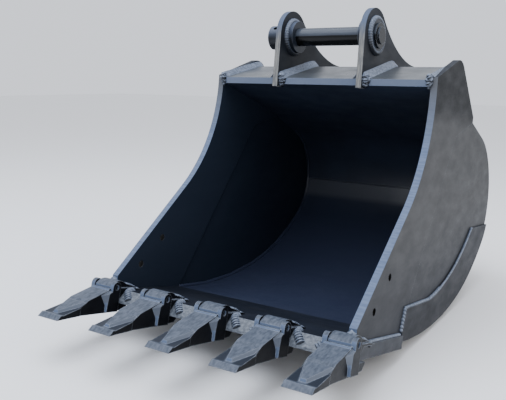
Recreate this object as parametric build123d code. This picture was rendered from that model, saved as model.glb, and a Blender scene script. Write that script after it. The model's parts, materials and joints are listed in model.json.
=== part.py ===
"""Five-tooth digging bucket for a 13-tonne excavator.

The bucket lies on its heel as it does when it is set down.  +X is the bucket's right side, +Y
its back, +Z up; the origin is on the ground under the middle of the bounding box.  Side views
are drawn in the YZ plane and pushed out along X.
"""

import os
from math import atan2, cos, degrees, radians, sin, tan

from build123d import *

# ---- driving dimensions (mm, degrees) ----
BUCKET_WIDTH = 850.0          # over the side plates
CUTTER_PLATE = 22.0           # front part of each side
SIDE_PLATE = 14.0             # thinner rear part of each side
SHELL_PLATE = 16.0            # rolled shell
WEAR_PLATE = 8.0              # band outside the heel
WEAR_SWEEP = 20.0             # the band ends this far round the shell's tightest bend
LIP_OVERHANG = 12.0           # cutting edge past each side plate

LIP_PITCH = 13.3              # the cutting edge rises this much to the front
LIP_THICKNESS = 38.0
LIP_LENGTH = 348.0
LIP_BACK = (-209.0, 33.0)     # bottom rear edge of the cutting edge plate

SHELL_STEP = 20.0             # shell starts this far above the cutting edge's bottom face
SHELL_BOTTOM = [(1375.0, 20.8), (910.0, 26.6), (238.0, 48.2)]   # radius, angle turned
SHELL_BACK = [(238.0, 73.1)]
SHELL_STRAIGHT = 165.0

FRONT_FOOT = (-506.0, 183.0)  # lower end of the side plate's front edge
FRONT_ANGLE = 35.0
FRONT_STRAIGHT = 428.0
FRONT_RADIUS = 529.0
FRONT_SWEEP = 51.0

ROOF_PITCH = 10.5             # slope of the closed top box
BAR_FRONT = (66.0, 794.0)
BAR_THICKNESS = 23.0
BAR_DEPTH = 90.0
TUBE_PLATE = 12.0
TUBE_BEND = 60.0
ROOF_FLAT = 45.0              # inner roof carries on this far before it bends to the bar
SIDE_TOP_PITCH = 14.8         # slope of the side plates' top edge
HUMP_RADIUS = 70.0
SIDE_JOINT_KNEE = (290.0, 622.0)
BACK_SLOPE = 51.3             # slope of the top box's back

EAR_THICKNESS = 20.0
EAR_CENTRES = 325.0
PIN_DIAMETER = 65.0
ARM_PIN_AT = (162.0, 965.0)
LINK_PIN_AT = (537.0, 777.0)
ARM_ROUND = 95.0
LINK_ROUND = 90.0
EAR_LEAN = 6.9
EAR_HOLLOW = 490.0            # radius of the ear's concave back edge
EAR_FRONT = 191.0             # straight front edge, from the toe up to the round
HUB_DIAMETER = 115.0
HUB_INNER = 25.0
HUB_OUTER = 10.0
COLLAR_DIAMETER = 88.0
COLLAR_LENGTH = 56.0
CROSS_HOLE = 17.0
PIN_CLEARANCE = 0.08

CUTTER_HOLE = 22.0
CUTTER_HOLES = [(-289.6, 265.2), (-396.6, 196.6)]

TOOTH_COUNT = 5
TOOTH_PITCH = 203.0
TIP_WIDTH = 80.0
LUG_WIDTH = 94.0
HUMP_WIDTH = 64.0
NOSE_WIDTH = 52.0
TOOTH_PIN = 16.0
TOOTH_PIN_AT = (-18.0, 48.0)  # rearwards along the cutting edge, above its bottom face
RIDGE_FOOT = 124.0            # height at which the point's spine starts to narrow

STRIP_WIDTH = 60.0
STRIP_LENGTH = 260.0
STRIP_CENTRES = (-250.0, 0.0, 250.0)

HALF = BUCKET_WIDTH / 2


# ---- small helpers ----
def heading(angle):
    return Vector(cos(radians(angle)), sin(radians(angle)))


def left_of(angle):
    return heading(angle + 90)


def closed(lines):
    """Face bounded by joined lines, arcs and polylines."""
    return make_face(Wire([edge for line in lines for edge in line.edges()]))


def outline(*points):
    return make_face(Polyline(*points, close=True))


def slab(face, x_from, x_to):
    """Side-view face pushed out from x_from to x_to."""
    return extrude(Plane.YZ.offset(x_from) * face, x_to - x_from, dir=(1, 0, 0))


def rod(diameter, x_from, x_to, at):
    """Round bar along X, centred on a side-view point."""
    return slab(Pos(*at) * Circle(diameter / 2), x_from, x_to)


def run_arcs(start, angle, arcs, inset):
    """Tangent arcs that turn left, with their radii reduced by inset."""
    edges, point = [], Vector(*start)
    for radius, sweep in arcs:
        edges.append(JernArc(point, heading(angle), radius - inset, sweep))
        point = edges[-1] @ 1
        angle += sweep
    return edges, point, angle


def shell_strip(start, angle, arcs, straight, thickness):
    """Side view of a rolled plate: outer line, inner line and its two square ends."""
    outer, outer_end, out_angle = run_arcs(start, angle, arcs, 0)
    inner_start = Vector(*start) + left_of(angle) * thickness
    inner, inner_end, out_angle = run_arcs(inner_start, angle, arcs, thickness)
    if straight:
        outer.append(Line(outer_end, outer_end + heading(out_angle) * straight))
        inner.append(Line(inner_end, inner_end + heading(out_angle) * straight))
    ends = [Line(outer[0] @ 0, inner[0] @ 0), Line(outer[-1] @ 1, inner[-1] @ 1)]
    return closed(outer + inner + ends), outer, outer[-1] @ 1, out_angle


def mirrored(solid):
    return mirror(solid, about=Plane.YZ)


parts = {}

# ---- cutting edge: thick flat plate with a bevelled front ----
back_of_lip = Vector(*LIP_BACK)
lip_front = back_of_lip + heading(180 - LIP_PITCH) * LIP_LENGTH
lip_frame = Pos(lip_front.X, lip_front.Y) * Rot(0, 0, -LIP_PITCH)
lip_half = HALF + LIP_OVERHANG
lip_face = outline(
    (0, 0), (0, 8), (28, LIP_THICKNESS), (LIP_LENGTH, LIP_THICKNESS), (LIP_LENGTH, 0)
)
parts["cutting_edge"] = slab(lip_frame * lip_face, -lip_half, lip_half)


# ---- teeth: weld-on adapter, tooth point and retaining pin ----
def tooth_slab(face, x_from, x_to):
    """Slab of a face drawn from the front of the cutting edge, along it and square to it."""
    return slab(lip_frame * face, x_from, x_to)


def tooth_rod(diameter, x_from, x_to):
    return tooth_slab(Pos(*TOOTH_PIN_AT) * Circle(diameter / 2), x_from, x_to)


def both_sides(solid):
    return solid + mirrored(solid)


leg_block = outline(
    (2, -24), (30, -21), (44, -6), (44, 10), (95, 10), (95, 42), (62, 46), (2, 46)
)
legs = leg_block - lip_face
hump = closed(
    [
        Polyline((84, 30), (2, 33.5), (-32, 33.5), (-32, 50)),
        ThreePointArc((-32, 50), (-2, 66), (34, 58)),
        Polyline((34, 58), (84, 46), (84, 30)),
    ]
) - lip_face


def make_adapter():
    """Nose for the point, legs over and under the cutting edge, hump that holds the pin."""
    nose = outline((-128, -14), (-128, -3), (-121, 1), (-34, 31), (10, 31), (10, -18)) - lip_face
    adapter = tooth_slab(nose, -NOSE_WIDTH / 2, NOSE_WIDTH / 2)
    adapter += tooth_slab(legs, -HUMP_WIDTH / 2 - 10, HUMP_WIDTH / 2 + 10)
    adapter += tooth_slab(hump, -HUMP_WIDTH / 2, HUMP_WIDTH / 2)
    return adapter - tooth_rod(TOOTH_PIN + 0.1, -HUMP_WIDTH, HUMP_WIDTH)


def make_ridge():
    """Spine that narrows from the full width of the rear panel to the tip strip."""
    rear_y, tip_y = (
        lip_front.X + along * cos(radians(LIP_PITCH)) for along in (-118.0, -222.0)
    )
    half_rear, half_tip, draft = TIP_WIDTH / 2 + 16, 14, 30
    plan = outline(
        (-half_rear, rear_y), (-half_tip, tip_y), (half_tip, tip_y), (half_rear, rear_y)
    )
    side = outline((-122, 11), (-216, -22), (-216, -34), (-122, -10))
    prism = extrude(Plane.XY.offset(RIDGE_FOOT) * plan, 60, taper=draft)
    return tooth_slab(side, -TIP_WIDTH / 2 + 3, TIP_WIDTH / 2 - 3) & prism


def make_point():
    """Hollow wedge: tip strip, two hollows beside a spine, rear panel, flared cheeks, lugs."""
    half_body, half_lug = TIP_WIDTH / 2 - 2, LUG_WIDTH / 2
    wedge = outline(
        (-2, -28), (-150, -33), (-200, -38), (-200, -25), (-150, -9), (-122, 11), (-44, 38.5),
        (-42, 43), (-34, 44), (-34, 32), (-2, 32),
    )
    blade = outline((-150, -33), (-236.4, -42), (-223, -28), (-214, -28), (-150, -9))
    cheek_foot = [(-2, -26), (-50, -26), (-52, -6), (-80, 23), (-38, 39), (-34, 32), (-2, 32)]
    cheek_face = [(-2, -26), (-50, -26), (-50, -6), (-46, 28), (-38, 35), (-34, 32), (-2, 32)]
    lug = outline((-35, -20), (-35, 48), (-1, 48), (-1, -20)) + Pos(*TOOTH_PIN_AT) * Circle(17)
    socket = outline((0, -19), (-130, -15), (-130, -3), (-122, 2), (-34, 32.5), (0, 32.5))
    point = tooth_slab(wedge, -half_body, half_body)
    point += tooth_slab(blade, -TIP_WIDTH / 2, TIP_WIDTH / 2)
    point += make_ridge()
    cheek = loft(
        [
            Plane.YZ.offset(half_body - 2) * lip_frame * outline(*cheek_foot),
            Plane.YZ.offset(half_lug) * lip_frame * outline(*cheek_face),
        ],
        ruled=True,
    )
    point += both_sides(cheek)
    point += both_sides(tooth_slab(lug, HUMP_WIDTH / 2 + 1, half_lug))
    point -= tooth_slab(socket, -NOSE_WIDTH / 2 - 1, NOSE_WIDTH / 2 + 1)
    return point - tooth_rod(TOOTH_PIN + 0.1, -LUG_WIDTH, LUG_WIDTH)


adapter, point = make_adapter(), make_point()
tooth_pin = tooth_rod(TOOTH_PIN, 1 - LUG_WIDTH / 2, LUG_WIDTH / 2 - 5)
for number in range(TOOTH_COUNT):
    place = Pos((number - (TOOTH_COUNT - 1) / 2) * TOOTH_PITCH, 0, 0)
    parts[f"tooth_adapter_{number + 1}"] = place * adapter
    parts[f"tooth_point_{number + 1}"] = place * point
    parts[f"tooth_pin_{number + 1}"] = place * tooth_pin

# ---- rolled shell in two plates, butt-welded across the back ----
shell_start = back_of_lip + left_of(-LIP_PITCH) * SHELL_STEP
low_face, low_outer, seam_point, seam_angle = shell_strip(
    shell_start, -LIP_PITCH, SHELL_BOTTOM, 0, SHELL_PLATE
)
high_face, high_outer, shell_end, shell_angle = shell_strip(
    seam_point, seam_angle, SHELL_BACK, SHELL_STRAIGHT, SHELL_PLATE
)
shell_half = HALF - SIDE_PLATE
parts["shell_lower"] = slab(low_face, -shell_half, shell_half)
parts["shell_upper"] = slab(high_face, -shell_half, shell_half)

# ---- top box: front bar, bent closing plate, inner roof ----
bar_low = Vector(*BAR_FRONT)
bar_top = bar_low + left_of(ROOF_PITCH) * BAR_THICKNESS
along_roof = heading(ROOF_PITCH)
bar_back_top = bar_top + along_roof * BAR_DEPTH
bar_back_low = bar_low + along_roof * BAR_DEPTH
inner_half = HALF - CUTTER_PLATE
bar_face = outline(bar_low, bar_top, bar_back_top, bar_back_low)
parts["top_front_bar"] = slab(bar_face, -inner_half, inner_half)

down_back = heading(-BACK_SLOPE)
rise = (shell_end - bar_back_top)
crest_run = (rise.Y + rise.X * tan(radians(BACK_SLOPE))) / (
    sin(radians(ROOF_PITCH)) + cos(radians(ROOF_PITCH)) * tan(radians(BACK_SLOPE))
)
crest = bar_back_top + along_roof * crest_run
tube_outer = FilletPolyline(bar_back_top, crest, shell_end, radius=TUBE_BEND)
inside_start = bar_back_top - left_of(ROOF_PITCH) * TUBE_PLATE
half_turn = radians((ROOF_PITCH + BACK_SLOPE) / 2)
inside_crest = crest + heading((ROOF_PITCH - BACK_SLOPE) / 2 - 90) * (TUBE_PLATE / cos(half_turn))
shell_line = heading(shell_angle)
toe_shift = TUBE_PLATE / sin(radians(shell_angle - 180 + BACK_SLOPE))
inside_end = shell_end + shell_line * abs(toe_shift)
tube_inner = FilletPolyline(inside_start, inside_crest, inside_end, radius=TUBE_BEND - TUBE_PLATE)
tube_face = closed(
    [tube_outer, tube_inner, Line(bar_back_top, inside_start), Line(shell_end, inside_end)]
)
parts["top_box_plate"] = slab(tube_face, -inner_half, inner_half)

roof_knee = shell_end + shell_line * ROOF_FLAT
roof_inset = left_of(shell_angle) * SHELL_PLATE
roof_face = outline(
    shell_end,
    roof_knee,
    bar_low + along_roof * 45,
    bar_low + along_roof * 14,
    roof_knee + roof_inset,
    shell_end + roof_inset,
)
parts["roof_plate"] = slab(roof_face, -inner_half, inner_half)

# ---- sides: thick front plate with the hump, thinner plate behind, both flush outside ----
lip_top_back = back_of_lip + left_of(-LIP_PITCH) * LIP_THICKNESS
side_foot = lip_top_back + heading(180 - LIP_PITCH) * (LIP_LENGTH - 31)
front_foot = Vector(*FRONT_FOOT)
front_line = Line(front_foot, front_foot + heading(FRONT_ANGLE) * FRONT_STRAIGHT)
front_arc = JernArc(front_line @ 1, heading(FRONT_ANGLE), FRONT_RADIUS, FRONT_SWEEP)
top_corner = front_arc @ 1
notch_top = shell_end + Vector(5, 21)
slope = tan(radians(BACK_SLOPE))
lean = tan(radians(SIDE_TOP_PITCH))
hump_y = (notch_top.Y - top_corner.Y + slope * notch_top.X + lean * top_corner.X) / (slope + lean)
hump_corner = Vector(hump_y, top_corner.Y + lean * (hump_y - top_corner.X))
hump_line = FilletPolyline(top_corner, hump_corner, notch_top, radius=HUMP_RADIUS)
joint_line = FilletPolyline(shell_end, SIDE_JOINT_KNEE, lip_top_back, radius=70)

cutter_face = closed(
    [
        Line(side_foot, front_foot),
        front_line,
        front_arc,
        hump_line,
        Line(notch_top, shell_end),
        joint_line,
        Line(lip_top_back, side_foot),
    ]
)
cutter_face -= lip_frame * (legs + hump)
for hole_at in CUTTER_HOLES:
    cutter_face -= Pos(*hole_at) * Circle(CUTTER_HOLE / 2)
side_cutter = slab(cutter_face, inner_half, HALF)

rear_face = closed([joint_line, Line(shell_start, lip_top_back)] + low_outer + high_outer)
side_plate = slab(rear_face, shell_half, HALF)

# ---- wear plate outside each heel: a curved band, cut off square at the back ----
wear_arcs = SHELL_BOTTOM[:2] + [(SHELL_BOTTOM[2][0], WEAR_SWEEP)]
wear_outer, wear_end, _ = run_arcs(shell_start, -LIP_PITCH, wear_arcs, 0)
wear_tip = (526, 257)
wear_knee = (44, 110)
wear_toe = (-165, 142)
wear_heel = lip_top_back + left_of(-LIP_PITCH) * 5
wear_face = closed(
    wear_outer
    + [
        Line(wear_end, wear_tip),
        ThreePointArc(wear_tip, (340, 163), wear_knee),
        Line(wear_knee, wear_toe),
        Line(wear_toe, wear_heel),
        Line(wear_heel, shell_start),
    ]
)
side_wear_plate = slab(wear_face, HALF, HALF + WEAR_PLATE)

# ---- hanger ears: one plate each, over the top box and down onto the shell ----
arm_at, link_at = Vector(*ARM_PIN_AT), Vector(*LINK_PIN_AT)


def arc_about(centre, radius, angle_from, angle_to):
    middle = (angle_from + angle_to) / 2
    points = [centre + heading(angle) * radius for angle in (angle_from, middle, angle_to)]
    return ThreePointArc(*points)


def bearing(vector):
    return degrees(atan2(vector.Y, vector.X))


between = link_at - arm_at
reach_arm, reach_link = EAR_HOLLOW + ARM_ROUND, EAR_HOLLOW + LINK_ROUND
span = between.length
share = (reach_arm**2 - reach_link**2 + span**2) / (2 * span)
unit = between.normalized()
hollow_centre = arm_at + unit * share + Vector(-unit.Y, unit.X) * (reach_arm**2 - share**2) ** 0.5
arm_end = bearing(hollow_centre - arm_at)
link_start = bearing(hollow_centre - link_at)

front_up = 90 - EAR_LEAN
front_tangent = arm_at + heading(front_up + 90) * ARM_ROUND
toe_front = front_tangent - heading(front_up) * EAR_FRONT
toe_back = Vector(bar_low.X, toe_front.Y)
rear_tangent = link_at + heading(-10) * LINK_ROUND
rear_foot = rear_tangent + heading(-100) * 165
ear_outline = closed(
    [
        Line(toe_front, front_tangent),
        arc_about(arm_at, ARM_ROUND, front_up + 90, arm_end),
        arc_about(hollow_centre, EAR_HOLLOW, arm_end + 180, link_start + 180),
        arc_about(link_at, LINK_ROUND, link_start, -10),
        Line(rear_tangent, rear_foot),
        Line(rear_foot, toe_back),
        Line(toe_back, toe_front),
    ]
)
under_ear = closed(
    [
        Polyline(bar_low, bar_top, bar_back_top),
        tube_outer,
        Polyline(shell_end, high_outer[0] @ 1, (420, 400), bar_low),
    ]
)
ear_face = ear_outline - under_ear
for pin_at in (ARM_PIN_AT, LINK_PIN_AT):
    ear_face -= Pos(*pin_at) * Circle(HUB_DIAMETER / 2)
ear_inner = (EAR_CENTRES - EAR_THICKNESS) / 2
ear_outer = ear_inner + EAR_THICKNESS
hanger_ear = slab(ear_face, ear_inner, ear_outer)


def hub(at):
    """Turned boss welded through an ear."""
    bore = PIN_DIAMETER + 2 * PIN_CLEARANCE
    ends = (ear_inner - HUB_INNER, ear_outer + HUB_OUTER)
    return rod(HUB_DIAMETER, *ends, at) - rod(bore, *ends, at)


# ---- paired pieces ----
pairs = {
    "side_cutter": side_cutter,
    "side_plate": side_plate,
    "side_wear_plate": side_wear_plate,
    "hanger_ear": hanger_ear,
    "arm_hub": hub(ARM_PIN_AT),
    "link_hub": hub(LINK_PIN_AT),
}
for name, solid in pairs.items():
    parts[name + "_right"] = solid
    parts[name + "_left"] = mirrored(solid)

# ---- arm pin, and the collar that its cross bolt goes through ----
hub_face = ear_outer + HUB_OUTER
collar_end = hub_face + COLLAR_LENGTH
cross_x = collar_end - 24
cross_plane = Plane(
    origin=(-cross_x, ARM_PIN_AT[0], ARM_PIN_AT[1]),
    x_dir=(1, 0, 0),
    z_dir=(0, -cos(radians(50)), sin(radians(50))),
)
cross_drill = extrude(cross_plane * Circle(CROSS_HOLE / 2), COLLAR_DIAMETER, both=True)
collar = rod(COLLAR_DIAMETER, -collar_end, -hub_face, ARM_PIN_AT)
collar -= rod(PIN_DIAMETER + 2 * PIN_CLEARANCE, -collar_end, -hub_face, ARM_PIN_AT)
parts["pin_collar"] = collar - cross_drill

pin_head = hub_face + 0.4
arm_pin = rod(PIN_DIAMETER, -collar_end + 3, pin_head, ARM_PIN_AT)
arm_pin += rod(COLLAR_DIAMETER, pin_head, pin_head + 7, ARM_PIN_AT)
arm_pin += rod(PIN_DIAMETER - 6, pin_head + 7, pin_head + 13, ARM_PIN_AT)
parts["arm_pin"] = arm_pin - cross_drill

# ---- flat wear strips under the heel: the bucket stands on them ----
lowest_y = shell_start.X + SHELL_BOTTOM[0][0] * sin(radians(LIP_PITCH))
strip_from, strip_to = lowest_y - STRIP_LENGTH / 2, lowest_y + STRIP_LENGTH / 2
strip_face = outline(
    (strip_from + 14, 0), (strip_from, 12), (strip_from, 60), (strip_to, 60), (strip_to, 12),
    (strip_to - 14, 0),
)
shell_fill = closed(low_outer + [Line(low_outer[-1] @ 1, shell_start)])
strip_face -= shell_fill
strips = [
    slab(strip_face, centre - STRIP_WIDTH / 2, centre + STRIP_WIDTH / 2)
    for centre in STRIP_CENTRES
]
parts["heel_wear_strips"] = Compound(children=[strip.solid() for strip in strips])

os.makedirs("parts", exist_ok=True)
for name, solid in parts.items():
    export_step(solid, f"parts/{name}.step")
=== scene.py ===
import json
import math

import bpy
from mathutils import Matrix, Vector


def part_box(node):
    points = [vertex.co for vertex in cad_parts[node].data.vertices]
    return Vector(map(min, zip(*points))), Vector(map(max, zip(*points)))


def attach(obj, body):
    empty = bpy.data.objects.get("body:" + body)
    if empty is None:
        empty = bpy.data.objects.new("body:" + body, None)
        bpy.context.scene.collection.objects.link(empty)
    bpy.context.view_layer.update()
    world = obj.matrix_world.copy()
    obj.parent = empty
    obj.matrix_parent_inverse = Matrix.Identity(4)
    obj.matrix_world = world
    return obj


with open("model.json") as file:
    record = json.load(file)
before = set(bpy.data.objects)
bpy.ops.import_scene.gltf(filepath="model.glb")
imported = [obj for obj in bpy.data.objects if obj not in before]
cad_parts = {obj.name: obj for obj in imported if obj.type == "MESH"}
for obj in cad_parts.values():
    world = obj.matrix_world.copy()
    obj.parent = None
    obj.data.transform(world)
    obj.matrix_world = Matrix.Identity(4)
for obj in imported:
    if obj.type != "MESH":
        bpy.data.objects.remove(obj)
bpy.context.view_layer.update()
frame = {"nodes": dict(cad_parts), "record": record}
nodes = frame["nodes"]

# ======================================================================================
# Rolled shell, inner roof and heel strips
# 16 mm structural steel plate, rolled hot in two lengths, butt-welded across the back and
# sprayed with one thin coat of graphite enamel.  The inside is coloured a near-black navy and
# the outside a near-black graphite; the inside is the smoothest part of the bucket.
# ======================================================================================


def linear(hex_colour, alpha=1.0):
    """sRGB hex to the linear colour that a shader wants."""
    channels = []
    for start in (1, 3, 5):
        value = int(hex_colour[start:start + 2], 16) / 255
        low = value / 12.92
        high = ((value + 0.055) / 1.055) ** 2.4
        channels.append(low if value <= 0.04045 else high)
    return (*channels, alpha)


def add(tree, kind, sockets, **settings):
    """Adds one node with its settings, values and links, and gives its first output."""
    node = tree.nodes.new("ShaderNode" + kind)
    for key, value in settings.items():
        setattr(node, key, value)
    for key, value in sockets.items():
        if isinstance(value, bpy.types.NodeSocket):
            tree.links.new(value, node.inputs[key])
        else:
            node.inputs[key].default_value = value
    return node.outputs[0]


def mottle(tree, place, size_mm, low, high, stretch=(1, 1, 1), detail=4.0):
    """Soft-edged blotches about size_mm across, longer along an axis of small stretch.

    They run from 0 where the noise is at low to 1 where it is at high.
    """
    drawn = add(tree, "VectorMath", {0: place, 1: stretch}, operation="MULTIPLY")
    noise = {"Vector": drawn, "Scale": 1000 / size_mm, "Detail": detail, "Roughness": 0.6}
    return add(tree, "MapRange", {0: add(tree, "TexNoise", noise), 1: low, 2: high})


enamel_ior = 1.45               # dried resin
worn_at, whole_at = 0.90, 0.995 # how straight the rounded surface faces where paint is off, on


def enamel(name, tint, worn, gloss, shine=0.5, peel=4, peel_depth=0.00012, round_edge=0.0018):
    """Sprayed enamel on steel: tint draws its colour, worn is its rubbed edge.

    Orange peel, peel millimetres across and peel_depth metres deep, softens and breaks up
    the highlight.  The edge radius, drawn wider than the real one so that it shows, catches
    the light as the ground arris of a plate does.  gloss is the range of roughness, and
    shine is how much of the film's mirror reflection dust and age have left.
    """
    material = bpy.data.materials.new(name)
    material.use_nodes = True
    tree = material.node_tree
    shader = tree.nodes["Principled BSDF"]
    place = add(tree, "TexCoord", {}).node.outputs["Object"]
    normal = add(tree, "NewGeometry", {}).node.outputs["Normal"]
    rounded = add(tree, "Bevel", {"Radius": round_edge}, samples=4)

    straight = add(tree, "VectorMath", {0: rounded, 1: normal}, operation="DOT_PRODUCT")
    arris = add(tree, "MapRange", {0: straight.node.outputs["Value"], 1: whole_at, 2: worn_at})
    rub = mottle(tree, place, 30, 0.30, 0.62)
    chipped = add(tree, "Math", {0: arris, 1: rub}, operation="MULTIPLY")
    colour = add(tree, "MixRGB", {0: chipped, 1: tint(tree, place, normal), 2: linear(worn)})
    tree.links.new(colour, shader.inputs["Base Color"])

    smear = mottle(tree, place, 90, 0.3, 0.7, (1.0, 1.0, 2.2))
    rough = add(tree, "MapRange", {0: smear, 3: gloss[0], 4: gloss[1]})
    tree.links.new(rough, shader.inputs["Roughness"])
    skin = mottle(tree, place, peel, 0.0, 1.0, detail=2.0)
    relief = {"Height": skin, "Normal": rounded, "Distance": peel_depth, "Strength": 0.6}
    tree.links.new(add(tree, "Bump", relief), shader.inputs["Normal"])
    shader.inputs["IOR"].default_value = enamel_ior
    shader.inputs["Specular IOR Level"].default_value = shine
    return material


def repaint(material, *names):
    """Gives CAD nodes their finish."""
    for name in names:
        node = nodes[name]
        node.data.materials.clear()
        node.data.materials.append(material)


def shell_tint(tree, place, normal):
    """Near-black navy inside, graphite outside, with faint spray drift and scuffs.

    A pale strip inside, under the butt weld and strongest on the right, stands in for the
    sheen of the sky in the bend.
    """
    spot = add(tree, "SeparateXYZ", {0: place}).node.outputs
    drift = mottle(tree, place, 300, 0.35, 0.7)
    inside = add(tree, "MixRGB", {0: drift, 1: linear("#202631"), 2: linear("#2a3242")})
    low = add(tree, "MapRange", {0: spot[2], 1: 0.42, 2: 0.10})
    inside = add(tree, "MixRGB", {0: low, 1: inside, 2: linear("#2a3042")})
    sheen_foot = add(tree, "MapRange", {0: spot[2], 1: 0.262, 2: 0.285})
    sheen_top = add(tree, "MapRange", {0: spot[2], 1: 0.352, 2: 0.342})
    sheen = add(tree, "Math", {0: sheen_foot, 1: sheen_top}, operation="MULTIPLY")
    rightward = add(tree, "MapRange", {0: spot[0], 1: 0.0, 2: 0.30, 3: 0.15, 4: 0.9})
    sheen = add(tree, "Math", {0: sheen, 1: rightward}, operation="MULTIPLY")
    inside = add(tree, "MixRGB", {0: sheen, 1: inside, 2: linear("#8f9192")})
    outside = add(tree, "MixRGB", {0: drift, 1: linear("#15171a"), 2: linear("#1e2024")})
    # the outer skin faces away from the middle of the shell's curve
    centre = add(tree, "VectorMath", {0: place, 1: (0.0, 0.25, 0.42)}, operation="SUBTRACT")
    away = add(tree, "VectorMath", {0: centre, 1: normal}, operation="DOT_PRODUCT")
    skin = add(tree, "MapRange", {0: away.node.outputs["Value"], 1: -0.02, 2: 0.02})
    scuff = mottle(tree, place, 20, 0.62, 0.75, (0.25, 2.0, 2.0))
    faint = add(tree, "Math", {0: scuff, 1: 0.10}, operation="MULTIPLY")
    colour = add(tree, "MixRGB", {0: skin, 1: inside, 2: outside})
    return add(tree, "MixRGB", {0: faint, 1: colour, 2: linear("#4a5160")})


shell_enamel = enamel(
    "graphite_enamel_rolled_plate", shell_tint, "#59606c", gloss=(0.32, 0.46), shine=0.4
)
repaint(shell_enamel, "shell_lower", "shell_upper", "roof_plate", "heel_wear_strips")

# ======================================================================================
# Side plates and curved wear plates
# Flame-cut from 22 mm and 14 mm plate, welded flush outside, with an 8 mm curved band on each
# heel.  The broad outer faces are dull with a little dust; their mid-grey against the near-black
# inner faces is painted light and shade, and the pale blue-grey of the cut edges is a painted
# sky reflection.
# ======================================================================================


bolt_holes = [
    (0, *mount["pos_m"][1:]) for mount in frame["record"]["mounts"]
    if mount["name"].endswith("cutter_hole_right")
]
side_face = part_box("side_plate_right")[1].x


def side_tint(tree, place, normal):
    """Pale cut edges, a painted sky reflection; dark inner and mid-grey outer faces, painted
    shade and light; darker above and below.

    The dark upper corner stands in for what the sheet reflects there; it ends on a soft
    wavy line that drops a little to the rear.
    """
    facing = add(tree, "SeparateXYZ", {0: normal}).node.outputs
    spot = add(tree, "SeparateXYZ", {0: place}).node.outputs
    hand = add(tree, "Math", {0: spot[0]}, operation="SIGN")
    outward = add(tree, "Math", {0: facing[0], 1: hand}, operation="MULTIPLY")
    drift = mottle(tree, place, 340, 0.15, 0.9, (1, 0.6, 1.6), 2.0)
    # the mid-grey of the outer faces is painted light
    lit_outer = add(tree, "MixRGB", {0: drift, 1: linear("#373839"), 2: linear("#3c3c3d")})
    low = add(tree, "MapRange", {0: spot[2], 1: 0.36, 2: 0.10})
    lit_outer = add(tree, "MixRGB", {0: low, 1: lit_outer, 2: linear("#292b30")})
    slope = add(tree, "VectorMath", {0: place, 1: (0, 0.10, 1)}, operation="DOT_PRODUCT")
    wave = mottle(tree, place, 160, 0.0, 1.0, detail=2.0)
    line = {0: wave, 1: 0.04, 2: slope.node.outputs["Value"]}
    line = add(tree, "Math", line, operation="MULTIPLY_ADD")
    high = add(tree, "MapRange", {0: line, 1: 0.700, 2: 0.755})
    lit_outer = add(tree, "MixRGB", {0: high, 1: lit_outer, 2: linear("#090b0e")})
    dusting = mottle(tree, place, 12, 0.62, 1.1)
    lit_outer = add(tree, "MixRGB", {0: dusting, 1: lit_outer, 2: linear("#424344")})
    width = add(tree, "Math", {0: spot[0]}, operation="ABSOLUTE")
    band = add(tree, "MapRange", {0: width, 1: side_face + 0.0005, 2: side_face + 0.0015})
    lit_outer = add(tree, "MixRGB", {0: band, 1: lit_outer, 2: linear("#1f2126")})
    # the near-black navy of the inner faces is painted shade
    shaded_inner = add(tree, "MixRGB", {0: drift, 1: linear("#1d2430"), 2: linear("#252d3a")})
    turned = add(tree, "MapRange", {0: outward, 1: -0.3, 2: 0.3})
    plate = add(tree, "MixRGB", {0: turned, 1: shaded_inner, 2: lit_outer})
    # the pale blue-grey of the cut edges is a painted sky reflection
    drag = mottle(tree, place, 6, 0.35, 0.65, (0.12, 1.0, 1.0))
    cut = add(tree, "MixRGB", {0: drag, 1: linear("#536078"), 2: linear("#637188")})
    upper = add(tree, "MapRange", {0: spot[2], 1: 0.60, 2: 0.80})
    cut = add(tree, "MixRGB", {0: upper, 1: cut, 2: linear("#55575b")})
    side_on = add(tree, "Math", {0: facing[0]}, operation="ABSOLUTE")
    edge_on = add(tree, "MapRange", {0: side_on, 1: 0.7, 2: 0.3})
    forward = add(tree, "MapRange", {0: facing[1], 1: -0.30, 2: -0.42})
    edge_dust_and_sheen = add(tree, "Math", {0: edge_on, 1: forward}, operation="MULTIPLY")
    flush = add(tree, "MapRange", {0: band, 3: 1.0, 4: 0.0})
    edge_dust_and_sheen = add(tree, "Math", {0: edge_dust_and_sheen, 1: flush}, operation="MULTIPLY")
    colour = add(tree, "MixRGB", {0: edge_dust_and_sheen, 1: plate, 2: cut})
    # the walls of the two bolt holes are painted dark, as shade in the holes
    profile = add(tree, "VectorMath", {0: place, 1: (0, 1, 1)}, operation="MULTIPLY")
    for hole in bolt_holes:
        reach = add(tree, "VectorMath", {0: profile, 1: hole}, operation="DISTANCE")
        within = add(tree, "MapRange", {0: reach.node.outputs["Value"], 1: 0.0118, 2: 0.0112})
        colour = add(tree, "MixRGB", {0: within, 1: colour, 2: linear("#0d0b09")})
    return colour


side_enamel = enamel(
    "graphite_enamel_cut_plate", side_tint, "#5e636a", gloss=(0.42, 0.58), shine=0.15
)
for plate in ("side_cutter", "side_plate", "side_wear_plate"):
    repaint(side_enamel, plate + "_left", plate + "_right")

# ======================================================================================
# Cutting edge
# 38 mm wear-resistant plate with a flame-cut bevel in front; the bevel is coarse and pale
# where the scale shows through, the top is scuffed dark enamel.
# ======================================================================================


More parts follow.
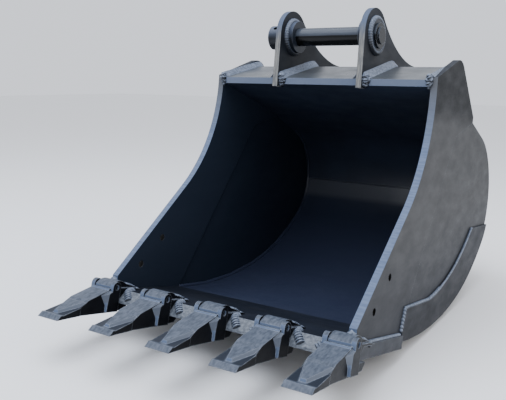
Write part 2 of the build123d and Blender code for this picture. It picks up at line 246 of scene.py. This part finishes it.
def lip_tint(tree, place, normal):
    """Dark scuffed top and a bevel speckled pale by its scale."""
    facing = add(tree, "SeparateXYZ", {0: normal}).node.outputs
    scale = mottle(tree, place, 8, 0.36, 0.64)
    bevel = add(tree, "MixRGB", {0: scale, 1: linear("#4a5058"), 2: linear("#747a82")})
    drift = mottle(tree, place, 150, 0.35, 0.7, (0.4, 1.0, 1.0))
    plate = add(tree, "MixRGB", {0: drift, 1: linear("#10141c"), 2: linear("#1c212b")})
    forward = add(tree, "MapRange", {0: facing[1], 1: -0.3, 2: -0.6})
    return add(tree, "MixRGB", {0: forward, 1: plate, 2: bevel})


lip_enamel = enamel(
    "graphite_enamel_thick_edge", lip_tint, "#636974", gloss=(0.36, 0.55), shine=0.35,
    peel=7, peel_depth=0.0005, round_edge=0.0025,
)
repaint(lip_enamel, "cutting_edge")

# ======================================================================================
# Closed top box
# A 23 mm square-edged bar in front and a bent 12 mm plate behind it; both face the sky, and
# the top has a film of pale dust that thins out in smears.  The pale blue-grey on faces turned
# forward is a painted sky reflection, and the dark on faces turned back is painted shade.
# ======================================================================================


def top_box_tint(tree, place, normal):
    """Dusty grey top, a pale blue-grey painted reflection on the bar front and painted shade on
    the back.
    """
    facing = add(tree, "SeparateXYZ", {0: normal}).node.outputs
    smears = mottle(tree, place, 120, 0.32, 0.7, (0.5, 1.0, 1.0))
    upper = add(tree, "MixRGB", {0: smears, 1: linear("#353b43"), 2: linear("#4d5051")})
    # faces turned forward get a pale blue-grey painted sky reflection
    front = add(tree, "MixRGB", {0: smears, 1: linear("#4e5b72"), 2: linear("#5e697c")})
    # faces turned back get a dark painted shade
    back = add(tree, "MixRGB", {0: smears, 1: linear("#202329"), 2: linear("#2c2f35")})
    forward = add(tree, "MapRange", {0: facing[1], 1: -0.5, 2: -0.8})
    rear_shade = add(tree, "MapRange", {0: facing[1], 1: 0.2, 2: 0.6})
    top_and_front_sheen = add(tree, "MixRGB", {0: forward, 1: upper, 2: front})
    return add(tree, "MixRGB", {0: rear_shade, 1: top_and_front_sheen, 2: back})


top_box_enamel = enamel(
    "graphite_enamel_top_box", top_box_tint, "#747a85", gloss=(0.26, 0.42)
)
repaint(top_box_enamel, "top_front_bar", "top_box_plate")

# ======================================================================================
# Hanger ears
# Two 20 mm plates, flame-cut to shape; the cut leaves upright drag lines on their front
# edges that hold pale dust, while both flat faces stay dark.
# ======================================================================================


def ear_tint(tree, place, normal):
    """Dark flat faces, and pale cut edges in front with drag lines across them."""
    facing = add(tree, "SeparateXYZ", {0: normal}).node.outputs
    spot = add(tree, "SeparateXYZ", {0: place}).node.outputs
    drift = mottle(tree, place, 100, 0.35, 0.7)
    plate = add(tree, "MixRGB", {0: drift, 1: linear("#15181d"), 2: linear("#1d2128")})
    drag = mottle(tree, place, 5, 0.36, 0.64, (1.0, 0.4, 0.12), 3.0)
    cut = add(tree, "MixRGB", {0: drag, 1: linear("#5d5e5f"), 2: linear("#7d7c78")})
    high = add(tree, "MapRange", {0: spot[2], 1: 0.95, 2: 1.01})
    cut = add(tree, "MixRGB", {0: high, 1: cut, 2: linear("#4b566a")})
    side_on = add(tree, "Math", {0: facing[0]}, operation="ABSOLUTE")
    edge_on = add(tree, "MapRange", {0: side_on, 1: 0.7, 2: 0.3})
    forward = add(tree, "MapRange", {0: facing[1], 1: 0.3, 2: -0.2})
    edge_dust_and_sheen = add(tree, "Math", {0: edge_on, 1: forward}, operation="MULTIPLY")
    return add(tree, "MixRGB", {0: edge_dust_and_sheen, 1: plate, 2: cut})


ear_enamel = enamel(
    "graphite_enamel_ear_plate", ear_tint, "#5b6069", gloss=(0.40, 0.55), shine=0.15
)
repaint(ear_enamel, "hanger_ear_left", "hanger_ear_right")

# ======================================================================================
# Pin bosses and retaining collar
# Turned steel rings, welded through the ears and enamelled with the rest; the collar stands
# outside the left ear.  Their upper sides are painted paler, as a reflection of the sky, and
# the rest nearly black, as painted shade.
# ======================================================================================


def boss_tint(tree, place, normal):
    """Painted light and shade: nearly black round the sides, and blue-grey where the ring faces
    the sky.
    """
    facing = add(tree, "SeparateXYZ", {0: normal}).node.outputs
    wave = mottle(tree, place, 20, 0.36, 0.66)
    # faces turned up get a blue-grey painted reflection of the sky, the sides a near-black painted
    # shade
    up = add(tree, "MapRange", {0: facing[2], 1: -0.1, 2: 0.8})
    shaded_sides = add(tree, "MixRGB", {0: wave, 1: linear("#101318"), 2: linear("#1a1f26")})
    return add(tree, "MixRGB", {0: up, 1: shaded_sides, 2: linear("#4a5364")})


boss_enamel = enamel(
    "graphite_enamel_turned_boss", boss_tint, "#6a717c", gloss=(0.26, 0.40), shine=0.25
)
repaint(
    boss_enamel, "arm_hub_left", "arm_hub_right", "link_hub_left", "link_hub_right", "pin_collar"
)

# ======================================================================================
# Arm pin
# 65 mm ground shaft with a plain head, enamelled after fitting; it slides out to the right.
# It is the glossiest part; its pale upper half is a painted sky reflection and its nearly black
# underside painted shade.
# ======================================================================================


def pin_tint(tree, place, normal):
    """Grey above and nearly black below, painted light and shade, with faint streaks along the
    shaft.
    """
    facing = add(tree, "SeparateXYZ", {0: normal}).node.outputs
    streak = mottle(tree, place, 10, 0.3, 0.7, (0.08, 1.0, 1.0))
    # the nearly black underside is painted shade, the grey upper half a painted sky reflection
    shaded_under = add(tree, "MixRGB", {0: streak, 1: linear("#050606"), 2: linear("#0a0b0d")})
    lit_over = add(tree, "MixRGB", {0: streak, 1: linear("#353a43"), 2: linear("#424850")})
    up = add(tree, "MapRange", {0: facing[2], 1: 0.02, 2: 0.14})
    return add(tree, "MixRGB", {0: up, 1: shaded_under, 2: lit_over})


pin_enamel = enamel(
    "gloss_enamel_ground_pin", pin_tint, "#757c89", gloss=(0.16, 0.26), shine=0.25,
    peel=3, peel_depth=0.00005,
)
repaint(pin_enamel, "arm_pin")

# ======================================================================================
# Teeth
# Cast manganese-steel points and adapters, sand-cast skin under the enamel; the casting
# grain is coarse, and the arrises are pale with handling.  The paler top faces and tips and
# the dark flanks are painted light and shade.
# ======================================================================================


def middle(node):
    """Centre of a CAD node's box."""
    low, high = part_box(node)
    return (low + high) / 2


tooth_count = 5
tooth_pitch = middle("tooth_point_2").x - middle("tooth_point_1").x
tooth_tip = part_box("tooth_point_1")[0].y
hollow_from, hollow_to = tooth_tip + 0.0234, tooth_tip + 0.1234


def tooth_tint(tree, place, normal):
    """Painted light and shade: pale tops and tips, dark flanks, and hollows beside the spine
    darkened as by shade.
    """
    facing = add(tree, "SeparateXYZ", {0: normal}).node.outputs
    spot = add(tree, "SeparateXYZ", {0: place}).node.outputs
    grain = mottle(tree, place, 10, 0.34, 0.66, (1.4, 0.5, 1.0))
    top = add(tree, "MixRGB", {0: grain, 1: linear("#3a414c"), 2: linear("#59606c")})
    # the hollows lie further from the tooth's middle than the edge of its tapering spine
    aside = add(tree, "Math", {0: spot[0], 1: tooth_pitch / 2}, operation="PINGPONG")
    spine = {0: spot[1], 1: hollow_from, 2: hollow_to, 3: 0.009, 4: 0.040}
    beyond = {0: aside, 1: add(tree, "MapRange", spine)}
    beyond = add(tree, "Math", beyond, operation="SUBTRACT")
    hollow = add(tree, "MapRange", {0: beyond, 1: 0.0, 2: 0.004})
    for start, end in ((hollow_from - 0.004, hollow_from + 0.004), (hollow_to, hollow_to - 0.02)):
        within = add(tree, "MapRange", {0: spot[1], 1: start, 2: end})
        hollow = add(tree, "Math", {0: hollow, 1: within}, operation="MULTIPLY")
    top = add(tree, "MixRGB", {0: hollow, 1: top, 2: linear("#1f252f")})
    # the near-black flanks are painted shade and the paler tops painted light
    flank = add(tree, "MixRGB", {0: grain, 1: linear("#04050a"), 2: linear("#0b0d12")})
    up = add(tree, "MapRange", {0: facing[2], 1: 0.1, 2: 0.5})
    # faces turned forward, at the tips, get a pale blue-grey painted sky reflection
    front = add(tree, "MapRange", {0: facing[1], 1: -0.66, 2: -0.8})
    lit_and_shaded_cast = add(tree, "MixRGB", {0: up, 1: flank, 2: top})
    # the cheek's flared facet leans forward and outward, so it is painted light like the top
    side_on = add(tree, "Math", {0: facing[0]}, operation="ABSOLUTE")
    slanting = add(tree, "MapRange", {0: side_on, 1: 0.985, 2: 0.96})
    leading = add(tree, "MapRange", {0: facing[1], 1: -0.12, 2: -0.25})
    lit_facet = add(tree, "Math", {0: slanting, 1: leading}, operation="MULTIPLY")
    flared = add(tree, "MapRange", {0: side_on, 1: 0.08, 2: 0.2})
    lit_facet = add(tree, "Math", {0: lit_facet, 1: flared}, operation="MULTIPLY")
    lit_and_shaded_cast = add(tree, "MixRGB", {0: lit_facet, 1: lit_and_shaded_cast, 2: linear("#565d69")})
    return add(tree, "MixRGB", {0: front, 1: lit_and_shaded_cast, 2: linear("#566379")})


tooth_enamel = enamel(
    "graphite_enamel_sand_casting", tooth_tint, "#868d98", gloss=(0.38, 0.55), shine=0.2,
    peel=6, peel_depth=0.0004, round_edge=0.003,
)
for number in range(1, tooth_count + 1):
    repaint(tooth_enamel, f"tooth_point_{number}", f"tooth_adapter_{number}")

# ======================================================================================
# Tooth pins
# A 16 mm ground steel dowel lies across each point and its adapter, and is knocked out to
# the right.  Only a thin coat of enamel is left on it, so bright steel shows.
# ======================================================================================


def dowel_tint(tree, place, normal):
    """The left end is hammered bright; the right end sits deep, and its dark is painted shade."""
    facing = add(tree, "SeparateXYZ", {0: normal}).node.outputs
    wave = mottle(tree, place, 4, 0.35, 0.65)
    bright = add(tree, "MixRGB", {0: wave, 1: linear("#8d949e"), 2: linear("#c9ccd0")})
    # the dark of the right end is painted shade
    right_end_shade = add(tree, "MapRange", {0: facing[0], 1: 0.3, 2: 0.7})
    return add(tree, "MixRGB", {0: right_end_shade, 1: bright, 2: linear("#14171c")})


dowel_steel = enamel("thin_enamel_drive_pin", dowel_tint, "#d6d8da", gloss=(0.25, 0.4))
for number in range(1, tooth_count + 1):
    repaint(dowel_steel, f"tooth_pin_{number}")

# ======================================================================================
# Fillet welds round the bosses
# Each boss is welded to its ear on both faces with a wide multi-pass ring.  The beads are
# enamelled with the bucket, and their ripples catch the light.
# ======================================================================================


def weld_tint(tree, place, normal):
    """Faces turned up are painted a pale blue-grey as lit by the sky, mottled in 7 mm spots; faces
    turned down are painted dark as shade.
    """
    facing = add(tree, "SeparateXYZ", {0: normal}).node.outputs
    crest = mottle(tree, place, 7, 0.36, 0.64)
    lit_upper = add(tree, "MixRGB", {0: crest, 1: linear("#4d5767"), 2: linear("#7d8798")})
    # faces turned up get the pale painted light, faces turned down a dark painted shade
    up = add(tree, "MapRange", {0: facing[2], 1: -0.35, 2: 0.55})
    return add(tree, "MixRGB", {0: up, 1: linear("#12151b"), 2: lit_upper})


weld_enamel = enamel(
    "graphite_enamel_weld_bead", weld_tint, "#8d97a7", gloss=(0.30, 0.5), shine=0.4,
    peel_depth=0.0006,
)
ripple_joint, ring_joint = 0.00002, 0.0003      # ends nearer than this are one


def lay_bead(name, route, radius, pitch, swell, closed=False, sides=12):
    """One ripple is drawn out of a ring, repeated along the joint and bent to its line.

    A ripple takes up pitch, and its crest stands out by the share swell of the radius.  A
    bead of few sides is a flat-faced fillet.
    """
    joint = bpy.data.curves.new(name + "_joint", "CURVE")
    joint.dimensions = "3D"
    line = joint.splines.new("POLY")
    line.points.add(len(route) - 1)
    for point, spot in zip(line.points, route):
        point.co = (*spot, 1)
    line.use_cyclic_u = closed
    rail = bpy.data.objects.new(name + "_joint", joint)
    bpy.context.scene.collection.objects.link(rail)

    stops = route + route[:1] if closed else route
    length = sum((Vector(b) - Vector(a)).length for a, b in zip(stops, stops[1:]))
    count = max(2, round(length / pitch))
    pitch = length / count
    bpy.ops.object.select_all(action="DESELECT")
    bpy.ops.mesh.primitive_circle_add(
        vertices=sides, radius=radius, fill_type="NOTHING", rotation=(0, math.pi / 2, 0)
    )
    bead = bpy.context.object
    bead.name = name
    bpy.ops.object.transform_apply(location=True, rotation=True, scale=True)
    bpy.ops.object.mode_set(mode="EDIT")
    bpy.ops.mesh.select_all(action="SELECT")
    peak = 1 + swell
    for step, grow in ((0.3, peak), (0.4, 1.0), (0.3, 1 / peak)):
        bpy.ops.mesh.extrude_region_move(TRANSFORM_OT_translate={"value": (pitch * step, 0, 0)})
        bpy.ops.transform.resize(value=(1, grow, grow), center_override=(0, 0, 0))
    bpy.ops.object.mode_set(mode="OBJECT")
    ripples = bead.modifiers.new("ripples", "ARRAY")
    ripples.count = count
    ripples.use_relative_offset = False
    ripples.use_constant_offset = True
    ripples.constant_offset_displace = (pitch, 0, 0)
    ripples.use_merge_vertices = True
    ripples.merge_threshold = ripple_joint
    bend = bead.modifiers.new("bend", "CURVE")
    bend.object = rail
    bpy.ops.object.modifier_apply(modifier="ripples")
    bpy.ops.object.modifier_apply(modifier="bend")
    bpy.data.objects.remove(rail)
    bpy.ops.object.mode_set(mode="EDIT")
    bpy.ops.mesh.select_all(action="SELECT")
    bpy.ops.mesh.remove_doubles(threshold=ring_joint if closed else ripple_joint)
    bpy.ops.mesh.select_all(action="DESELECT")
    bpy.ops.mesh.select_non_manifold(extend=False)
    bpy.ops.mesh.fill_holes(sides=0)
    bpy.ops.mesh.select_all(action="SELECT")
    bpy.ops.mesh.normals_make_consistent(inside=False)
    bpy.ops.object.mode_set(mode="OBJECT")
    bpy.ops.object.shade_smooth_by_angle(angle=math.radians(50))
    return bead


def as_one(name, pieces, material=weld_enamel):
    """Joins like pieces into one, and fixes it to the bucket."""
    bpy.ops.object.select_all(action="DESELECT")
    for piece in pieces:
        piece.select_set(True)
    bpy.context.view_layer.objects.active = pieces[0]
    bpy.ops.object.join()
    whole = bpy.context.object
    whole.name = name
    whole.data.materials.clear()
    whole.data.materials.append(material)
    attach(whole, "bucket")
    return whole


def ring(x, centre, radius, sides=40):
    """Points round a circle that faces along X."""
    turns = (2 * math.pi * step / sides for step in range(sides))
    return [
        (x, centre.y + radius * math.cos(turn), centre.z + radius * math.sin(turn))
        for turn in turns
    ]


ear_low, ear_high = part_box("hanger_ear_right")
boss_low, boss_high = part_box("arm_hub_right")
boss_radius = (boss_high.z - boss_low.z) / 2
boss_beads = []
for boss in ("arm_hub_right", "link_hub_right"):
    centre = middle(boss)
    for hand in (-1, 1):
        for face in (ear_low.x, ear_high.x):
            route = ring(hand * face, centre, boss_radius + 0.001)
            bead = lay_bead("boss_bead", route, 0.0105, pitch=0.008, swell=0.10, closed=True)
            boss_beads.append(bead)
as_one("boss_ring_welds", boss_beads)

# ======================================================================================
# Fillet welds along the ears and the side plates, over the top box
# Wide ripple-faced fillets follow the top box from the bar, over the crest and down its
# back.  Beside each side plate and on the right of each ear they start in a lump, where the
# welder ran round the bar.
# ======================================================================================
bar_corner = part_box("top_front_bar")[0]
box_low, box_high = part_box("top_box_plate")
roof_pitch, back_slope = math.radians(10.5), math.radians(51.3)
bar_face = 0.0228               # upright height of the bar's front
roof_run = 0.2687               # along the roof from the bar's top edge to where it meets the back
turn_in = 0.0359                # the crest's 60 mm bend starts and ends this far from the corner
bar_nose = Vector((0, bar_corner.y, bar_corner.z + bar_face))
uphill = Vector((0, math.cos(roof_pitch), math.sin(roof_pitch)))
downhill = Vector((0, math.cos(back_slope), -math.sin(back_slope)))
crest = bar_nose + uphill * roof_run
box_foot = Vector((0, box_high.y, box_low.z))


def over_the_box(x, start, end):
    """Line over the top box: up the roof, round the crest's 60 mm bend and down the back.

    The bend sags inside the corner that the roof and the back would make.
    """
    before, after = crest - uphill * turn_in * 0.45, crest + downhill * turn_in * 0.45
    sag = ((before + after) / 2 - crest) * 0.45
    spots = [
        bar_nose + uphill * start,
        crest - uphill * turn_in,
        before + sag * 0.35,
        crest + sag,
        after + sag * 0.35,
        crest + downhill * turn_in,
        box_foot - downhill * end,
    ]
    return [(x, spot.y, spot.z) for spot in spots]


def ball(place, size, subdivisions):
    """A drop of weld metal, to be roughened."""
    bpy.ops.object.select_all(action="DESELECT")
    bpy.ops.mesh.primitive_ico_sphere_add(
        subdivisions=subdivisions, radius=1, location=place, scale=size
    )
    bpy.ops.object.transform_apply(location=True, rotation=True, scale=True)
    return bpy.context.object


def roughen(mass, depth, octaves):
    """Ripples of about 6 mm all over a drop or a lump."""
    ripple = bpy.data.textures.new(mass.name + "_ripple", "CLOUDS")
    ripple.noise_scale = 0.006
    ripple.noise_depth = octaves
    rough = mass.modifiers.new("rough", "DISPLACE")
    rough.texture = ripple
    rough.texture_coords = "LOCAL"
    rough.strength = depth
    bpy.ops.object.modifier_apply(modifier="rough")
    bpy.ops.object.shade_smooth()


def lump(name, x, side, width):
    """Weld metal run round the end of the bar: four passes melted into one rough mass."""
    first = Vector((x + side * 0.3 * width, bar_nose.y, bar_nose.z + 0.008))
    next_down = Vector((0, 0.001, -0.010))
    thick = 0.011
    passes = [
        ball(first + next_down * drop, (width * spread, thick, thick), subdivisions=3)
        for drop, spread in enumerate((0.7, 1.0, 0.8, 0.5))
    ]
    for weld_pass in passes:
        weld_pass.select_set(True)
    bpy.ops.object.join()
    mass = bpy.context.object
    mass.name = name
    melted = mass.modifiers.new("melted", "REMESH")
    melted.mode = "VOXEL"
    melted.voxel_size = 0.0014
    bpy.ops.object.modifier_apply(modifier="melted")
    roughen(mass, 0.008, octaves=3)
    return mass


ear_beads = []
for hand in (-1, 1):
    for face, side in ((ear_low.x, -1), (ear_high.x, 1)):
        x = hand * face
        route = over_the_box(x, start=0.004, end=0.002)
        ear_beads.append(lay_bead("ear_bead", route, 0.021, pitch=0.005, swell=0.03, sides=4))
        # only the right-hand fillet of each ear ends in a lump
        if hand * side > 0:
            ear_beads.append(lump("ear_lump", x, side=1, width=0.022))
as_one("ear_welds", ear_beads)

inner_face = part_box("side_cutter_right")[0].x
side_beads = []
for hand in (-1, 1):
    x = hand * inner_face
    route = over_the_box(x, start=0.008, end=0.002)
    side_beads.append(lay_bead("side_bead", route, 0.018, pitch=0.005, swell=0.03, sides=4))
    side_beads.append(lump("side_lump", x, side=-hand, width=0.013))
as_one("side_plate_top_welds", side_beads)

# ======================================================================================
# Welds outside the heel
# The curved wear plates are welded all along their upper edge, stitched at the toe and
# smooth towards the tip; the ends of the cutting edge have a fillet along their top.
# ======================================================================================
lip_low, lip_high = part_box("cutting_edge")
lip_pitch = math.radians(13.3)
lip_thickness, lip_length = 0.038, 0.348
forward = Vector((0, -math.cos(lip_pitch), math.sin(lip_pitch)))
upward = Vector((0, math.sin(lip_pitch), math.cos(lip_pitch)))
lip_heel = Vector((0, lip_high.y - lip_thickness * upward.y, lip_low.z))
lip_toe = lip_heel + forward * lip_length


def on_lip(x, rearwards, height):
    """Place beside the cutting edge: rearwards from its front, height above its underside."""
    spot = lip_toe - forward * rearwards + upward * height
    return (x, spot.y, spot.z)


def band_bend(back):
    """Height of the band's curved upper edge, which has a radius of 0.88 m."""
    centre_back, centre_up, radius = 0.0394, 0.9889, 0.8789
    return centre_up - math.sqrt(radius ** 2 - (back - centre_back) ** 2)


# corners of the band's front end, and the reach of its upper edge behind them, rearwards
band_foot, band_toe, band_knee = (-0.199, 0.078), (-0.165, 0.142), (0.044, 0.110)
band_reach, band_steps = 0.482, 8
band_backs = [band_knee[0] + band_reach * step / band_steps for step in range(band_steps + 1)]
band_edge = [(back, band_bend(back)) for back in band_backs]

# round the cutting edge's end, from its front: rearwards, and height above its underside
edge_end = [
    (0.006, 0.004), (0.010, 0.020), (0.022, 0.032), (0.045, 0.039),
    (0.110, 0.039), (0.200, 0.039), (0.300, 0.039), (0.340, 0.039),
]
heel_beads = []
for hand in (-1, 1):
    x = hand * side_face
    toe_run = [(x + hand * 0.003, y, z) for y, z in (band_foot, band_toe, band_knee)]
    tip_run = [(x + hand * 0.006, y, z + 0.001) for y, z in band_edge]
    stitches = [(x + hand * 0.005, y, z + 0.001) for y, z in band_edge[:3]]
    edge_run = [on_lip(x + hand * 0.003, back, up) for back, up in edge_end]
    heel_beads += [
        lay_bead("band_toe_bead", toe_run, 0.0042, pitch=0.010, swell=0.50),
        lay_bead("band_stitch_bead", stitches, 0.0042, pitch=0.010, swell=0.50),
        lay_bead("band_bead", tip_run, 0.0036, pitch=0.006, swell=0.05),
        lay_bead("edge_end_bead", edge_run, 0.0050, pitch=0.009, swell=0.30),
    ]
as_one("heel_welds", heel_beads)

# ======================================================================================
# Welds round the tooth adapters
# Each adapter is welded to the cutting edge across its back with four passes.  Coarse weave
# passes run along its flanks and down the bevel, and one drop closes each side plate's foot.
# ======================================================================================
# a flank pass: out from the adapter's middle, back from the cutting edge's front, and up
flank_pass = [
    (0.042, 0.060, 0.034), (0.047, 0.038, 0.033), (0.057, 0.025, 0.029),
    (0.069, 0.015, 0.019), (0.079, 0.008, 0.010),
]
# the back passes: how far back, how far up, and half their width
back_passes = [
    (0.091, 0.037, 0.036), (0.080, 0.042, 0.028), (0.069, 0.046, 0.028), (0.058, 0.049, 0.028),
]
adapter_beads = []
for number in range(1, tooth_count + 1):
    centre = middle(f"tooth_adapter_{number}").x
    for hand in (-1, 1):
        # the outermost flanks have no cutting edge beside them to weld to
        if abs(centre + hand * flank_pass[-1][0]) > lip_high.x:
            continue
        flank = [on_lip(centre + hand * out, back, up) for out, back, up in flank_pass]
        bead = lay_bead("adapter_flank_bead", flank, 0.0085, pitch=0.0085, swell=0.55)
        adapter_beads.append(bead)
    for back, up, reach in back_passes:
        cross = [
            on_lip(centre + out, back + 0.003 - abs(out) / 8, up)
            for out in (-reach, -reach / 2, 0, reach / 2, reach)
        ]
        bead = lay_bead("adapter_back_bead", cross, 0.0058, pitch=0.0075, swell=0.45)
        adapter_beads.append(bead)
foot_back, foot_up = -0.514, 0.163      # lower front corner of the side plates
for hand in (-1, 1):
    side_foot = (hand * middle("side_cutter_right").x, foot_back, foot_up)
    drop = ball(side_foot, (0.014, 0.014, 0.016), subdivisions=5)
    roughen(drop, 0.010, octaves=2)
    adapter_beads.append(drop)
as_one("adapter_welds", adapter_beads)

# ======================================================================================
# Welds of the shell
# One butt weld runs across the back, a fillet closes the foot of the top box, and another
# follows the shell along each side plate, inside and outside.  All are single smooth passes
# under the enamel.
# ======================================================================================
shell_step, shell_plate = 0.020, 0.016  # height above the cutting edge's underside, thickness
shell_start = lip_heel + upward * shell_step
below_seam = [(1.375, 20.8), (0.910, 26.6), (0.238, 48.2)]      # radius, degrees turned
whole_bend = below_seam + [(0.238, 73.1)]


def shell_walk(inset, arcs):
    """Places along the rolled shell, inset from its outer skin, from the cutting edge on."""
    turned = -lip_pitch
    along = Vector((0, math.cos(turned), math.sin(turned)))
    spot = shell_start + Vector((0, -along.z, along.y)) * inset
    walked = [spot]
    for radius, sweep in arcs:
        steps = max(2, round(sweep / 6))
        for _ in range(steps):
            turn = math.radians(sweep) / steps
            chord = 2 * (radius - inset) * math.sin(turn / 2)
            slant = turned + turn / 2
            spot = spot + Vector((0, math.cos(slant), math.sin(slant))) * chord
            turned += turn
            walked.append(spot)
    return walked


shell_beads = []
seam = shell_walk(shell_plate, below_seam)[-1]
across = [(x, seam.y, seam.z) for x in (-inner_face, 0, inner_face)]
shell_beads.append(lay_bead("back_seam_bead", across, 0.0035, pitch=0.006, swell=0.10))
for hand in (-1, 1):
    for inset, radius, outward in ((shell_plate, 0.007, 0.002), (0.0, 0.004, 0.008)):
        x = hand * (inner_face + outward)
        corner = [(x, spot.y, spot.z) for spot in shell_walk(inset, whole_bend)]
        shell_beads.append(lay_bead("corner_bead", corner, radius, pitch=0.008, swell=0.08))
foot_run = [(x, box_foot.y + 0.002, box_foot.z) for x in (-inner_face, 0, inner_face)]
shell_beads.append(lay_bead("box_foot_bead", foot_run, 0.006, pitch=0.008, swell=0.10))
as_one("shell_welds", shell_beads, shell_enamel)

# ======================================================================================
# Floor, light and camera
# A plain pale floor under an even sky, with one large soft lamp overhead and a smaller warm
# one on the right; the camera stands in front, to the right, and looks slightly down.
# ======================================================================================
bpy.ops.object.select_all(action="DESELECT")
bpy.ops.mesh.primitive_plane_add(size=40, location=(0, 0, -0.0005))
floor = bpy.context.object
floor.name = "floor"
pale = bpy.data.materials.new("pale_studio_floor")
pale.use_nodes = True
matt = pale.node_tree.nodes["Principled BSDF"]
matt.inputs["Base Color"].default_value = linear("#f4f4f4")
matt.inputs["Roughness"].default_value = 0.9
floor.data.materials.append(pale)

sky = bpy.data.worlds.new("soft_sky")
sky.use_nodes = True
glow = sky.node_tree.nodes["Background"]
glow.inputs["Color"].default_value = linear("#eef2fb")
glow.inputs["Strength"].default_value = 1.25
bpy.context.scene.world = sky


def softbox(name, place, aim, size, power, colour):
    """A rectangular lamp, size metres across and power watts, turned towards aim."""
    lamp = bpy.data.lights.new(name, "AREA")
    lamp.shape = "RECTANGLE"
    lamp.size, lamp.size_y = size
    lamp.energy = power
    lamp.color = linear(colour)[:3]
    holder = bpy.data.objects.new(name, lamp)
    bpy.context.scene.collection.objects.link(holder)
    holder.location = place
    holder.rotation_euler = (Vector(aim) - Vector(place)).to_track_quat("-Z", "Y").to_euler()


softbox("overhead_sky", (-0.6, -1.2, 4.2), (0, 0, 0.4), (5, 4), 260, "#e8f0ff")
softbox("right_wall", (4.2, 0.2, 1.6), (0.4, 0.2, 0.4), (3, 3), 60, "#fff6ea")

camera_data = bpy.data.cameras.new("camera")
camera_data.lens = 48.6
camera_data.shift_x, camera_data.shift_y = -0.0161, -0.1061
camera = bpy.data.objects.new("camera", camera_data)
bpy.context.scene.collection.objects.link(camera)
tilt, lean, turn = 84.1507, -0.7334, 32.2119    # degrees
camera.location = (1.1078, -2.0629, 0.8205)
camera.rotation_euler = [math.radians(angle) for angle in (tilt, lean, turn)]
bpy.context.scene.camera = camera
